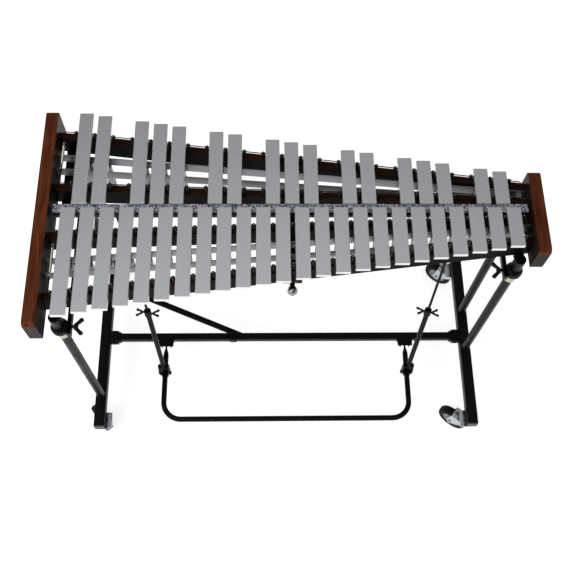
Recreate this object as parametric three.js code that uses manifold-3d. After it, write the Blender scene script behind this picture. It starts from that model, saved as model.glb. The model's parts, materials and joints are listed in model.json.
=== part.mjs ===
// Vibraphone, 3 1/3 octaves, on a rolling stand with a sustain pedal. Millimetres, +Z up.
// X runs along the keyboard (low notes at -X), Y away from the player, Z = 0 is the floor.
import * as THREE from 'three';
import { mergeVertices } from 'three/addons/utils/BufferGeometryUtils.js';
import Module from 'manifold-3d';

const wasm = await Module();
wasm.setup();

// ---- driving dimensions -------------------------------------------------------------
const PITCH = 50.8;
const NATURALS = 24;
const BAR_WIDTH = 38;
const BAR_THICK = 12;
const BAR_TOP = 931;
const NODE = 0.224;
const NATURAL_END_Y = 4;
const ACCIDENTAL_END_Y = 15;
const NATURAL_LENGTHS = [304, 114];
const ACCIDENTAL_LENGTHS = [283, 99];
const ACCIDENTAL_GROUPS = [2, 3, 2, 3, 2, 3, 2];
const GAP = 0.4;
const DEPTH_SHIFT = 37;

const KEYBOARD_HALF = (NATURALS - 1) * PITCH / 2;
const PANEL_INNER = KEYBOARD_HALF + 51;
const PANEL_THICK = 34;
const PANEL_TOP = BAR_TOP + 3;
const PANEL_HEIGHT = 92;
const PANEL_SPANS = { left: [-328, 302], right: [-130, 112] };

const RAIL_WIDTH = 22;
const RAIL_HEIGHT = 60;
const RAIL_TOP = BAR_TOP - 28;
const RAIL_BOTTOM = RAIL_TOP - RAIL_HEIGHT;
const CORD_Z = BAR_TOP - BAR_THICK / 2;
const CORD_RADIUS = 1.4;
const CORD_TURN_X = KEYBOARD_HALF + 30;

const BANK_TOP = BAR_TOP - 30;
const STRIP_HEIGHT = 33;
const STRIP_THICK = 2;
const TUBE_SIDES = 8;
const NATURAL_BANK_HALF = [20.5, 16];
const ACCIDENTAL_BANK_HALF = [22, 11.5];
const ACCIDENTAL_TUBES = [150, 60];

const LEG_X = 614;
const LEG_RADIUS = 13;
const LEG_TOP = 818;
const BEAM = 35;
const BEAM_BOTTOM = 124;
const BEAM_TOP = BEAM_BOTTOM + BEAM;
const BEAM_SPAN = [-376, 230];
const LEG_YS = { left: [-268, 212], right: [-106, 28] };
const SLEEVE_RADIUS = 16;
const COLLAR_RADIUS = 24;
const BUSH_RADIUS = 16.5;
const BUSH_HEIGHT = 36;
const SIDE_BAR = [20, 32];
const SLEEVE_BOTTOM = 761;
const SLEEVE_TOP = RAIL_BOTTOM - GAP;
const SLEEVE_CAP = 2;

const STRETCHER = 24;
const STRETCHER_Y = -62;
const STRETCHER_Z = BEAM_BOTTOM + BEAM / 2;
const PEDAL_X = 408;
const ROD_HEAD_X = 460;
const PEDAL_RADIUS = 9;
const PEDAL_HINGE_Y = -90;
const PEDAL_FRONT_Y = -350;
const ROD_FOOT_Y = -188;

const DAMPER_Y = 9.5;
const DAMPER_WIDTH = 24;
const FELT_TOP = BAR_TOP - BAR_THICK - GAP;
const FELT_THICK = 9;
const CHANNEL_HEIGHT = 25;
const CHANNEL_BOTTOM = FELT_TOP - FELT_THICK - GAP - CHANNEL_HEIGHT;
const ROD_HEAD_Z = CHANNEL_BOTTOM - 13;

const WHEEL_RADIUS = 50;
const WHEEL_WIDTH = 30;
const FORK_HALF = 19;
const CASTER_X = 602;
const PLATE_HALF = [24, 27.5];
const CASTER_TRAIL = 40;
const CASTER_SPOTS = {
  front_left: [-1, -348, 127],
  rear_left: [-1, 199, 120],
  front_right: [1, -348, 141],
  rear_right: [1, 199, 145],
};

// ---- materials ----------------------------------------------------------------------
function paint(color, metalness, roughness) {
  return () => new THREE.MeshStandardMaterial({ color, metalness, roughness });
}
const barMetal = paint(0xa9abad, 0.9, 0.4);
const wood = paint(0x5c2a19, 0, 0.45);
const blackPaint = paint(0x141415, 0.2, 0.45);
const felt = paint(0x8d94a6, 0, 0.95);
const resonatorMetal = paint(0x7d7f83, 0.8, 0.5);
const springSteel = paint(0xd9d4c0, 0.6, 0.4);
const nylon = paint(0xdcd8b8, 0, 0.5);
const redPlastic = paint(0xa32018, 0, 0.5);
const zinc = paint(0xb8babd, 0.9, 0.35);
const rubber = paint(0x1a1a1b, 0, 0.7);

// ---- geometry helpers ---------------------------------------------------------------
function toSolid(geometry) {
  const bare = geometry.clone();
  bare.deleteAttribute('normal');
  bare.deleteAttribute('uv');
  const merged = mergeVertices(bare, 1e-4);
  return new wasm.Manifold(new wasm.Mesh({
    numProp: 3,
    vertProperties: new Float32Array(merged.attributes.position.array),
    triVerts: new Uint32Array(merged.index.array),
  }));
}

function toGeometry(solid) {
  const mesh = solid.getMesh();
  const geometry = new THREE.BufferGeometry();
  const corners = new Float32Array(mesh.vertProperties);
  geometry.setAttribute('position', new THREE.BufferAttribute(corners, 3));
  geometry.setIndex(new THREE.BufferAttribute(new Uint32Array(mesh.triVerts), 1));
  geometry.computeVertexNormals();
  return geometry;
}

function carve(adds, cuts = []) {
  let solid = toSolid(adds[0]);
  for (const extra of adds.slice(1)) {
    solid = solid.add(toSolid(extra));
  }
  for (const cut of cuts) {
    solid = solid.subtract(toSolid(cut));
  }
  return toGeometry(solid);
}

function box(x, y, z) {
  const geometry = new THREE.BoxGeometry(x[1] - x[0], y[1] - y[0], z[1] - z[0]);
  geometry.translate((x[0] + x[1]) / 2, (y[0] + y[1]) / 2, (z[0] + z[1]) / 2);
  return geometry;
}

function round(radius, from, to, sides) {
  const start = new THREE.Vector3(...from);
  const axis = new THREE.Vector3(...to).sub(start);
  const geometry = new THREE.CylinderGeometry(radius, radius, axis.length(), sides);
  geometry.translate(0, axis.length() / 2, 0);
  geometry.applyQuaternion(new THREE.Quaternion().setFromUnitVectors(
    new THREE.Vector3(0, 1, 0), axis.clone().normalize()));
  geometry.translate(start.x, start.y, start.z);
  return geometry;
}

function outline(points, hole) {
  const shape = new THREE.Shape(points.map(([a, b]) => new THREE.Vector2(a, b)));
  if (hole) {
    shape.holes.push(new THREE.Path(hole.map(([a, b]) => new THREE.Vector2(a, b))));
  }
  return shape;
}

function slab(points, depth, hole) {
  return new THREE.ExtrudeGeometry(outline(points, hole), { depth, bevelEnabled: false });
}

function plateXY(points, z, hole) {
  const geometry = slab(points, z[1] - z[0], hole);
  geometry.translate(0, 0, z[0]);
  return geometry;
}

function plateYZ(points, x, hole) {
  const geometry = slab(points, x[1] - x[0], hole);
  geometry.rotateX(Math.PI / 2);
  geometry.rotateZ(Math.PI / 2);
  geometry.translate(x[0], 0, 0);
  return geometry;
}

function ring(radius, sides, center = [0, 0]) {
  return Array.from({ length: sides }, (_, i) => {
    const angle = 2 * Math.PI * (i + 0.5) / sides;
    return [center[0] + radius * Math.cos(angle), center[1] + radius * Math.sin(angle)];
  });
}

function bentTube(radius, curves, steps, sides) {
  const path = new THREE.CurvePath();
  curves.forEach((curve) => path.add(curve));
  const section = outline(ring(radius, sides));
  return new THREE.ExtrudeGeometry(section, { steps, extrudePath: path, bevelEnabled: false });
}

function mesh(name, geometry, material, parent) {
  const part = new THREE.Mesh(geometry, material());
  part.name = name;
  parent.add(part);
  return part;
}

function subgroup(name, parent) {
  const child = new THREE.Group();
  child.name = name;
  parent.add(child);
  return child;
}

// ---- keyboard layout ----------------------------------------------------------------
const noteX = (place) => place * PITCH - KEYBOARD_HALF;

// Straight from lengths[0] at the first place to lengths[1] at the last one.
function lengthAt(lengths, first, last, x) {
  const share = (x - noteX(first)) / (noteX(last) - noteX(first));
  return lengths[0] + (lengths[1] - lengths[0]) * share;
}
const naturalLength = (x) => lengthAt(NATURAL_LENGTHS, 0, NATURALS - 1, x);
const accidentalLength = (x) => lengthAt(ACCIDENTAL_LENGTHS, 0.5, NATURALS - 1.5, x);

const LINES = {
  natural_front: (x) => NATURAL_END_Y - (1 - NODE) * naturalLength(x),
  natural_rear: (x) => NATURAL_END_Y - NODE * naturalLength(x),
  natural_middle: (x) => NATURAL_END_Y - naturalLength(x) / 2,
  accidental_front: (x) => ACCIDENTAL_END_Y + NODE * accidentalLength(x),
  accidental_rear: (x) => ACCIDENTAL_END_Y + (1 - NODE) * accidentalLength(x),
  accidental_middle: (x) => ACCIDENTAL_END_Y + accidentalLength(x) / 2,
};

function accidentalPlaces() {
  const groups = [];
  let place = 0.5;
  for (const count of ACCIDENTAL_GROUPS) {
    groups.push(Array.from({ length: count }, (_, i) => place + i));
    place += count + 1;
  }
  return groups;
}

function naturalPostXs() {
  return Array.from({ length: NATURALS + 1 }, (_, i) => noteX(i - 0.5));
}

function accidentalPostXs() {
  return accidentalPlaces().flatMap((group) =>
    Array.from({ length: group.length + 1 }, (_, i) => noteX(group[0] - 0.5 + i)));
}

// ---- bars on their cords ------------------------------------------------------------
function barSolid(x, yFront, yRear) {
  const length = yRear - yFront;
  const under = BAR_TOP - BAR_THICK;
  const arch = 5;
  const points = [
    [yFront, under], [yFront + 0.32 * length, under], [yFront + 0.4 * length, under + arch],
    [yFront + 0.6 * length, under + arch], [yFront + 0.68 * length, under], [yRear, under],
    [yRear, BAR_TOP], [yFront, BAR_TOP],
  ];
  return plateYZ(points, [x - BAR_WIDTH / 2, x + BAR_WIDTH / 2]);
}

function cordRun(line, x0, x1) {
  return round(CORD_RADIUS, [x0, line(x0), CORD_Z], [x1, line(x1), CORD_Z], 4);
}

function cordTurn(x, y0, y1) {
  return round(CORD_RADIUS, [x, y0, CORD_Z], [x, y1, CORD_Z], 4);
}

function barGroup(name, row, places, x0, x1, extras, parent) {
  const natural = row === 'natural';
  const adds = places.map(noteX).map((x) => (natural
    ? barSolid(x, NATURAL_END_Y - naturalLength(x), NATURAL_END_Y)
    : barSolid(x, ACCIDENTAL_END_Y, ACCIDENTAL_END_Y + accidentalLength(x))));
  adds.push(cordRun(LINES[`${row}_front`], x0, x1));
  adds.push(cordRun(LINES[`${row}_rear`], x0, x1));
  mesh(name, carve([...adds, ...extras]), barMetal, parent);
}

const springEnds = (row) => [
  LINES[`${row}_front`](-CORD_TURN_X) + 45,
  LINES[`${row}_rear`](-CORD_TURN_X) - 35,
];

function leftTurns(row) {
  const [y0, y1] = springEnds(row);
  return [
    cordTurn(-CORD_TURN_X, LINES[`${row}_front`](-CORD_TURN_X) - CORD_RADIUS, y0),
    cordTurn(-CORD_TURN_X, y1, LINES[`${row}_rear`](-CORD_TURN_X) + CORD_RADIUS),
  ];
}

function rightTurn(row) {
  const front = LINES[`${row}_front`](CORD_TURN_X);
  const rear = LINES[`${row}_rear`](CORD_TURN_X);
  return [cordTurn(CORD_TURN_X, front - CORD_RADIUS, rear + CORD_RADIUS)];
}

function buildBars(parent) {
  const rows = {
    natural: [[0, 7], [7, 14], [14, 21], [21, 24]].map(([a, b]) =>
      Array.from({ length: b - a }, (_, i) => a + i)),
    accidental: [0, 2, 4, 6].map((first) => accidentalPlaces().slice(first, first + 2).flat()),
  };
  for (const [row, groups] of Object.entries(rows)) {
    groups.forEach((places, i) => {
      const before = i === 0 ? null : groups[i - 1];
      const after = groups[i + 1];
      const x0 = before ? noteX((before.at(-1) + places[0]) / 2) + GAP / 2 : -CORD_TURN_X;
      const x1 = after ? noteX((places.at(-1) + after[0]) / 2) - GAP / 2 : CORD_TURN_X;
      const extras = [...(before ? [] : leftTurns(row)), ...(after ? [] : rightTurn(row))];
      barGroup(`${row}_bars_${i + 1}`, row, places, x0, x1, extras, parent);
    });
  }
}

function buildSprings(parent) {
  for (const row of ['natural', 'accidental']) {
    const [y0, y1] = springEnds(row);
    const spring = round(4, [-CORD_TURN_X, y0 + GAP, CORD_Z], [-CORD_TURN_X, y1 - GAP, CORD_Z], 10);
    mesh(`${row}_cord_spring`, spring, springSteel, parent);
  }
}

// ---- wooden frame -------------------------------------------------------------------
function endPanel(side, parent) {
  const [front, rear] = PANEL_SPANS[side];
  const bottom = PANEL_TOP - PANEL_HEIGHT;
  const points = [
    [front, bottom], [rear, bottom],
    [rear, PANEL_TOP - 9], [rear - 3, PANEL_TOP - 3], [rear - 9, PANEL_TOP],
    [front + 16, PANEL_TOP], [front + 5, PANEL_TOP - 5], [front, PANEL_TOP - 16],
  ];
  const outer = PANEL_INNER + PANEL_THICK;
  const x = side === 'left' ? [-outer, -PANEL_INNER] : [PANEL_INNER, outer];
  mesh(`end_panel_${side}`, plateYZ(points, x), wood, parent);
}

function post(x, y) {
  const half = 4.5;
  const top = CORD_Z + 5.5;
  const points = [
    [y - half, RAIL_TOP - 2], [y + half, RAIL_TOP - 2], [y + half, CORD_Z + 2],
    [y + 2.2, top], [y - 2.2, top], [y - half, CORD_Z + 2],
  ];
  return plateYZ(points, [x - 2.5, x + 2.5], ring(2.7, 4, [y, CORD_Z]));
}

function rail(name, line, postXs, parent) {
  const end = PANEL_INNER - GAP;
  const half = RAIL_WIDTH / 2;
  const plank = plateXY([
    [-end, line(-end) - half], [end, line(end) - half],
    [end, line(end) + half], [-end, line(-end) + half],
  ], [RAIL_BOTTOM, RAIL_TOP]);
  const posts = postXs.map((x) => post(x, line(x)));
  mesh(name, carve([plank, ...posts]), wood, parent);
}

function buildWoodwork(parent) {
  endPanel('left', parent);
  endPanel('right', parent);
  rail('natural_front_rail', LINES.natural_front, naturalPostXs(), parent);
  rail('natural_rear_rail', LINES.natural_rear, naturalPostXs(), parent);
  rail('accidental_front_rail', LINES.accidental_front, accidentalPostXs(), parent);
  rail('accidental_rear_rail', LINES.accidental_rear, accidentalPostXs(), parent);
}

// ---- resonators ---------------------------------------------------------------------
function strip(line, halfAt, sign) {
  const end = PANEL_INNER - GAP;
  const edge = (x, out) => [x, line(x) + sign * (halfAt(x) + out)];
  const out = STRIP_THICK / 2;
  const points = [edge(-end, -out), edge(end, -out), edge(end, out), edge(-end, out)];
  return plateXY(points, [BANK_TOP - STRIP_HEIGHT, BANK_TOP]);
}

function resonatorBank(name, line, places, halves, depthAt, parent) {
  const halfAt = (x) => lengthAt(halves, -1, NATURALS, x);
  const adds = [strip(line, halfAt, -1), strip(line, halfAt, 1)];
  const cuts = [];
  for (const x of places.map(noteX)) {
    const bottom = BANK_TOP - depthAt(x);
    const radius = halfAt(x) / Math.cos(Math.PI / TUBE_SIDES);
    adds.push(plateXY(ring(radius, TUBE_SIDES, [x, line(x)]), [bottom, BANK_TOP - 1]));
    cuts.push(plateXY(ring(radius - 1.8, TUBE_SIDES, [x, line(x)]), [bottom + 2, BANK_TOP + 5]));
  }
  mesh(name, carve(adds, cuts), resonatorMetal, parent);
}

function buildResonators(parent) {
  const naturalPlaces = Array.from({ length: NATURALS }, (_, i) => i);
  const tubeDepth = (x) => lengthAt(ACCIDENTAL_TUBES, 0.5, NATURALS - 1.5, x);
  resonatorBank('natural_resonators', LINES.natural_middle, naturalPlaces, NATURAL_BANK_HALF,
    () => STRIP_HEIGHT, parent);
  resonatorBank('accidental_resonators', LINES.accidental_middle, accidentalPlaces().flat(),
    ACCIDENTAL_BANK_HALF, tubeDepth, parent);
}

// ---- damper -------------------------------------------------------------------------
function buildDamper(parent) {
  const end = PANEL_INNER - 8;
  const y = [DAMPER_Y - DAMPER_WIDTH / 2, DAMPER_Y + DAMPER_WIDTH / 2];
  const feltBottom = FELT_TOP - FELT_THICK;
  const channelTop = feltBottom - GAP;
  const adds = [box([-end, end], y, [CHANNEL_BOTTOM, channelTop])];
  for (const x of [-ROD_HEAD_X, ROD_HEAD_X]) {
    const lug = [DAMPER_Y - 8, DAMPER_Y + 8];
    adds.push(box([x - 3, x + 3], lug, [ROD_HEAD_Z - 8, CHANNEL_BOTTOM + 1]));
    adds.push(round(4, [x - 8, DAMPER_Y, ROD_HEAD_Z], [x + 8, DAMPER_Y, ROD_HEAD_Z], 8));
  }
  const hollow = box([-end - 1, end + 1], [y[0] + 3, y[1] - 3], [CHANNEL_BOTTOM + 4, channelTop - 3]);
  mesh('damper_bar', carve(adds, [hollow]), blackPaint, parent);
  mesh('damper_felt', box([-end, end], y, [feltBottom, FELT_TOP]), felt, parent);
}

// ---- centre support and knob --------------------------------------------------------
const SUPPORT_FRONT_Y = -158;
const KNOB_Z = 829;
const KNOB_RADIUS = 14;
const KNOB_REACH = 22;
const KNOB_STEM = 7;
const WASHER_RADIUS = 9;
const WASHER_THICK = 5;

function buildCentre(parent) {
  const face = [SUPPORT_FRONT_Y - 5, SUPPORT_FRONT_Y + 1];
  const bar = box([-12.5, 12.5], [SUPPORT_FRONT_Y, 69], [SLEEVE_TOP - 26, SLEEVE_TOP]);
  const plate = box([-27, 27], face, [SLEEVE_TOP - 28, SLEEVE_TOP - 1]);
  mesh('centre_support', carve([bar, plate]), blackPaint, parent);
  const washerY = SUPPORT_FRONT_Y - 5 - GAP;
  const washer = round(
    WASHER_RADIUS, [0, washerY, KNOB_Z], [0, washerY - WASHER_THICK, KNOB_Z], 12);
  mesh('knob_washer', washer, redPlastic, parent);
  const stemY = washerY - WASHER_THICK - GAP;
  const ballY = stemY - KNOB_REACH;
  const stem = round(KNOB_STEM, [0, stemY, KNOB_Z], [0, ballY, KNOB_Z], 12);
  const ball = new THREE.SphereGeometry(KNOB_RADIUS, 16, 10);
  ball.translate(0, ballY, KNOB_Z);
  mesh('adjusting_knob', carve([stem, ball]), blackPaint, parent);
}

// ---- legs ---------------------------------------------------------------------------
function buildSleeves(side, sign, parent) {
  const x = sign * LEG_X;
  const [front, rear] = LEG_YS[side];
  const barRear = LINES.accidental_rear(x) + RAIL_WIDTH / 2;
  const crossBar = [front, Math.max(rear, barRear)];
  const adds = [box([x - 12, x + 12], crossBar, [SLEEVE_TOP - 24, SLEEVE_TOP])];
  const cuts = [];
  for (const y of [front, rear]) {
    adds.push(round(SLEEVE_RADIUS, [x, y, SLEEVE_BOTTOM], [x, y, SLEEVE_TOP], 12));
    adds.push(round(COLLAR_RADIUS, [x, y, SLEEVE_BOTTOM], [x, y, SLEEVE_BOTTOM + 26], 12));
    cuts.push(round(LEG_RADIUS + 0.6, [x, y, SLEEVE_BOTTOM - 1], [x, y, SLEEVE_TOP - SLEEVE_CAP], 16));
  }
  const inner = [x - sign * SIDE_BAR[0], x - sign * SIDE_BAR[1]].sort((a, b) => a - b);
  adds.push(box(inner, [front - 24, rear + 12], [SLEEVE_BOTTOM + 2, SLEEVE_BOTTOM + 22]));
  mesh(`leg_sleeves_${side}`, carve(adds, cuts), blackPaint, parent);
}

function buildBushes(side, sign, parent) {
  LEG_YS[side].forEach((y, i) => {
    const spot = i === 0 ? 'front' : 'rear';
    const z = [SLEEVE_BOTTOM - GAP - BUSH_HEIGHT, SLEEVE_BOTTOM - GAP];
    const center = [sign * LEG_X, y];
    const bush = plateXY(ring(BUSH_RADIUS, 16, center), z, ring(LEG_RADIUS + 0.6, 16, center));
    mesh(`nylon_bush_${spot}_${side}`, bush, nylon, parent);
  });
}

function wingBolt(name, x, y, z, sign, parent) {
  const pivot = subgroup(`${name}_pivot`, parent);
  pivot.position.set(x, y, z);
  pivot.rotation.z = sign > 0 ? Math.PI : 0;
  const wings = plateXY([
    [3, -5], [9, -5], [22, -25], [29, -24], [30, -18], [17, 0],
    [30, 18], [29, 24], [22, 25], [9, 5], [3, 5],
  ], [-4.5, 4.5]);
  const stem = round(4.5, [0, 0, 0], [14, 0, 0], 8);
  mesh(name, carve([stem, wings]), blackPaint, pivot);
}

function buildWingBolts(side, sign, parent) {
  LEG_YS[side].forEach((y, i) => {
    const spot = i === 0 ? 'front' : 'rear';
    const x = sign * (LEG_X - SIDE_BAR[1] - GAP);
    wingBolt(`wing_bolt_${spot}_${side}`, x, y, SLEEVE_BOTTOM + 12, sign, parent);
  });
}

function buildSideFrame(side, sign, parent) {
  const x = sign * LEG_X;
  const adds = [box([x - BEAM / 2, x + BEAM / 2], BEAM_SPAN, [BEAM_BOTTOM, BEAM_TOP])];
  const cuts = [];
  for (const y of LEG_YS[side]) {
    adds.push(round(LEG_RADIUS, [x, y, BEAM_TOP - 2], [x, y, LEG_TOP], 16));
    cuts.push(round(LEG_RADIUS - 2, [x, y, BEAM_TOP + 4], [x, y, LEG_TOP + 1], 16));
  }
  for (const [spotSign, y] of Object.values(CASTER_SPOTS)) {
    if (spotSign === sign) {
      const plate = [sign * (CASTER_X - PLATE_HALF[0]), sign * (LEG_X + BEAM / 2)];
      plate.sort((a, b) => a - b);
      const span = [y - PLATE_HALF[1], y + PLATE_HALF[1]];
      adds.push(box(plate, span, [BEAM_BOTTOM - 6, BEAM_BOTTOM + 0.5]));
    }
  }
  mesh(`side_frame_${side}`, carve(adds, cuts), blackPaint, parent);
}

// ---- lower bracing and pedal --------------------------------------------------------
function buildStretcher(parent) {
  const end = LEG_X - BEAM / 2 - GAP;
  const half = STRETCHER / 2;
  const section = (width, height) => [
    [STRETCHER_Y - width, STRETCHER_Y + width], [STRETCHER_Z - height, STRETCHER_Z + height],
  ];
  const adds = [box([-end, end], ...section(half, half))];
  for (const sign of [-1, 1]) {
    const x = [sign * end, sign * (end - 25)].sort((a, b) => a - b);
    adds.push(box(x, ...section(22, 16)));
  }
  mesh('stretcher', carve(adds), blackPaint, parent);
}

function buildBrace(parent) {
  const from = [-200, STRETCHER_Y + STRETCHER / 2 + GAP];
  const to = [-(LEG_X - BEAM / 2 - GAP), 135];
  const plank = plateXY([
    [from[0] + 8, from[1]], [to[0], to[1] - 10], [to[0], to[1] + 12], [from[0] + 56, from[1]],
  ], [STRETCHER_Z - 4, STRETCHER_Z + 4]);
  mesh('diagonal_brace', plank, blackPaint, parent);
}

function hingeBracket(name, x, parent) {
  const back = STRETCHER_Y - STRETCHER / 2 - GAP;
  const z = STRETCHER_Z;
  const adds = [box([x - 25, x + 25], [back - 4, back], [z - 11, z + 11])];
  for (const cheek of [-17, 13]) {
    adds.push(box([x + cheek, x + cheek + 4], [PEDAL_HINGE_Y - 9, back - 1], [z - 10, z + 10]));
  }
  adds.push(round(4, [x - 21, PEDAL_HINGE_Y, z], [x + 21, PEDAL_HINGE_Y, z], 8));
  mesh(name, carve(adds), blackPaint, parent);
}

function buildPedal(parent) {
  const bend = 60;
  const z = STRETCHER_Z;
  const rear = PEDAL_HINGE_Y - 14;
  const at = (x, y) => new THREE.Vector3(x, y, z);
  const corner = (sign) => [
    at(sign * PEDAL_X, PEDAL_FRONT_Y + bend),
    at(sign * PEDAL_X, PEDAL_FRONT_Y),
    at(sign * (PEDAL_X - bend), PEDAL_FRONT_Y),
  ];
  const left = corner(-1);
  const right = corner(1).reverse();
  const tube = bentTube(PEDAL_RADIUS, [
    new THREE.LineCurve3(at(-PEDAL_X, rear), left[0]),
    new THREE.QuadraticBezierCurve3(...left),
    new THREE.LineCurve3(left[2], right[0]),
    new THREE.QuadraticBezierCurve3(...right),
    new THREE.LineCurve3(right[2], at(PEDAL_X, rear)),
  ], 38, 8);
  const adds = [tube];
  const cuts = [];
  for (const x of [-PEDAL_X, PEDAL_X]) {
    adds.push(box([x - 11, x + 11], [PEDAL_HINGE_Y - 26, PEDAL_HINGE_Y + 8], [z - 8, z + 8]));
    adds.push(box([x - 11, x + 11], [ROD_FOOT_Y - 13, ROD_FOOT_Y + 13], [z - 12, z + 12]));
    adds.push(round(4, [x - 19, ROD_FOOT_Y, z], [x + 19, ROD_FOOT_Y, z], 8));
    cuts.push(round(4.6, [x - 12, PEDAL_HINGE_Y, z], [x + 12, PEDAL_HINGE_Y, z], 8));
  }
  mesh('pedal', carve(adds, cuts), blackPaint, parent);
}

// ---- pull rods: z along the rod, origin at the foot ---------------------------------
const ROD_RUN = DAMPER_Y - ROD_FOOT_Y;
const ROD_RISE = ROD_HEAD_Z - STRETCHER_Z;
const ROD_LEAN = ROD_HEAD_X - PEDAL_X;
const ROD_LENGTH = Math.hypot(ROD_LEAN, ROD_RUN, ROD_RISE);
const TUBE_END = 345;
const UPPER_START = TUBE_END - 95;

function rodTube() {
  const adds = [
    round(8, [0, 0, 38], [0, 0, TUBE_END], 12),
    round(11, [0, 0, TUBE_END - 24], [0, 0, TUBE_END], 12),
    box([-18, 18], [-8, 8], [26, 40]),
    box([-18, -13], [-9, 9], [-10, 30]),
    box([13, 18], [-9, 9], [-10, 30]),
  ];
  for (const [sign, z] of [[-1, TUBE_END - 8], [1, TUBE_END - 17]]) {
    adds.push(round(3.5, [0, 0, z], [sign * 18, 0, z], 8));
    const wings = [
      [7, -4], [15, -3.5], [33, -13], [37, -9], [25, 0], [37, 9], [33, 13], [15, 3.5], [7, 4],
    ].map(([out, y]) => [sign * out, y]);
    adds.push(plateXY(wings, [z - 3.5, z + 3.5]));
  }
  const cuts = [
    round(5, [0, 0, 60], [0, 0, TUBE_END + 1], 12),
    round(6, [-20, 0, 0], [20, 0, 0], 12),
  ];
  return carve(adds, cuts);
}

function upperRod() {
  const adds = [
    round(4, [0, 0, UPPER_START], [0, 0, ROD_LENGTH - 18], 12),
    box([-8, 8], [-7, 7], [ROD_LENGTH - 22, ROD_LENGTH - 11]),
    box([-8, -4], [-9, 9], [ROD_LENGTH - 13, ROD_LENGTH + 9]),
    box([4, 8], [-9, 9], [ROD_LENGTH - 13, ROD_LENGTH + 9]),
  ];
  const hole = round(5.6, [-10, 0, ROD_LENGTH], [10, 0, ROD_LENGTH], 8);
  return carve(adds, [hole]);
}

function buildPullRod(side, sign, parent) {
  const rod = subgroup(`pull_rod_${side}`, parent);
  rod.position.set(sign * PEDAL_X, ROD_FOOT_Y, STRETCHER_Z);
  const up = new THREE.Vector3(sign * ROD_LEAN, ROD_RUN, ROD_RISE).normalize();
  rod.quaternion.setFromUnitVectors(new THREE.Vector3(0, 0, 1), up);
  mesh(`pull_rod_tube_${side}`, rodTube(), blackPaint, rod);
  mesh(`pull_rod_upper_${side}`, upperRod(), blackPaint, rod);
}

// ---- casters: x along the trail, origin on the floor under the swivel ---------------
function casterFork() {
  const crown = WHEEL_RADIUS * 2 + 3;
  const swivelTop = BEAM_BOTTOM - 6 - GAP;
  const adds = [
    round(21, [0, 0, crown + 3], [0, 0, swivelTop], 12),
    box([-20, CASTER_TRAIL + 4], [-FORK_HALF, FORK_HALF], [crown, crown + 4]),
    round(4, [CASTER_TRAIL, -FORK_HALF, WHEEL_RADIUS], [CASTER_TRAIL, FORK_HALF, WHEEL_RADIUS], 8),
  ];
  for (const outer of [3 - FORK_HALF, FORK_HALF]) {
    const cheek = slab([
      [-16, crown + 2], [CASTER_TRAIL - 10, WHEEL_RADIUS - 8],
      [CASTER_TRAIL + 10, WHEEL_RADIUS - 8], [CASTER_TRAIL + 4, crown + 2],
    ], 3);
    cheek.rotateX(Math.PI / 2);
    cheek.translate(0, outer, 0);
    adds.push(cheek);
  }
  return carve(adds);
}

function casterWheel() {
  const sides = 20;
  const tread = ring(WHEEL_RADIUS / Math.cos(Math.PI / sides), sides);
  const rim = plateXY(tread, [-WHEEL_WIDTH / 2, WHEEL_WIDTH / 2], ring(4.7, 8));
  rim.rotateX(Math.PI / 2);
  return rim;
}

function brakeLever() {
  const thickness = 3;
  const profile = slab([
    [0, 0], [18, 4], [44, -7], [44, -7 + thickness], [18, 4 + thickness], [0, thickness + 2],
  ], 26);
  profile.rotateX(Math.PI / 2);
  profile.translate(0, 13, 0);
  return profile;
}

function buildCaster(spot, parent) {
  const [sign, y, heading] = CASTER_SPOTS[spot];
  const caster = subgroup(`caster_${spot}`, parent);
  caster.position.set(sign * CASTER_X, y, 0);
  caster.rotation.z = THREE.MathUtils.degToRad(heading);
  mesh(`caster_fork_${spot}`, casterFork(), zinc, caster);
  const wheel = mesh(`caster_wheel_${spot}`, casterWheel(), rubber, caster);
  wheel.position.set(CASTER_TRAIL, 0, WHEEL_RADIUS);
  const lever = mesh(`brake_lever_${spot}`, brakeLever(), zinc, caster);
  lever.position.set(CASTER_TRAIL + 4 + GAP, 0, WHEEL_RADIUS * 2 + 2.5);
}

// ---- assembly -----------------------------------------------------------------------
const group = new THREE.Group();
group.name = 'vibraphone';
const instrument = subgroup('instrument', group);
instrument.position.y = DEPTH_SHIFT;

const keyboard = subgroup('keyboard', instrument);
buildWoodwork(keyboard);
buildBars(keyboard);
buildSprings(keyboard);
buildResonators(keyboard);
buildDamper(keyboard);
buildCentre(keyboard);

const stand = subgroup('stand', instrument);
for (const [side, sign] of [['left', -1], ['right', 1]]) {
  buildSleeves(side, sign, keyboard);
  buildBushes(side, sign, keyboard);
  buildWingBolts(side, sign, keyboard);
  buildSideFrame(side, sign, stand);
  hingeBracket(`pedal_bracket_${side}`, sign * PEDAL_X, stand);
  buildPullRod(side, sign, stand);
}
buildStretcher(stand);
buildBrace(stand);
buildPedal(stand);
for (const spot of Object.keys(CASTER_SPOTS)) {
  buildCaster(spot, stand);
}

export default group;
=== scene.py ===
# Looks of the vibraphone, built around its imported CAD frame. Shapes are in millimetres and become
# metres when a piece is made. X runs along the keyboard, Y away from the player, Z = 0 is the floor.
import json
import math

import bmesh
import bpy
from mathutils import Matrix, Vector, noise
from mathutils.geometry import tessellate_polygon


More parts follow.
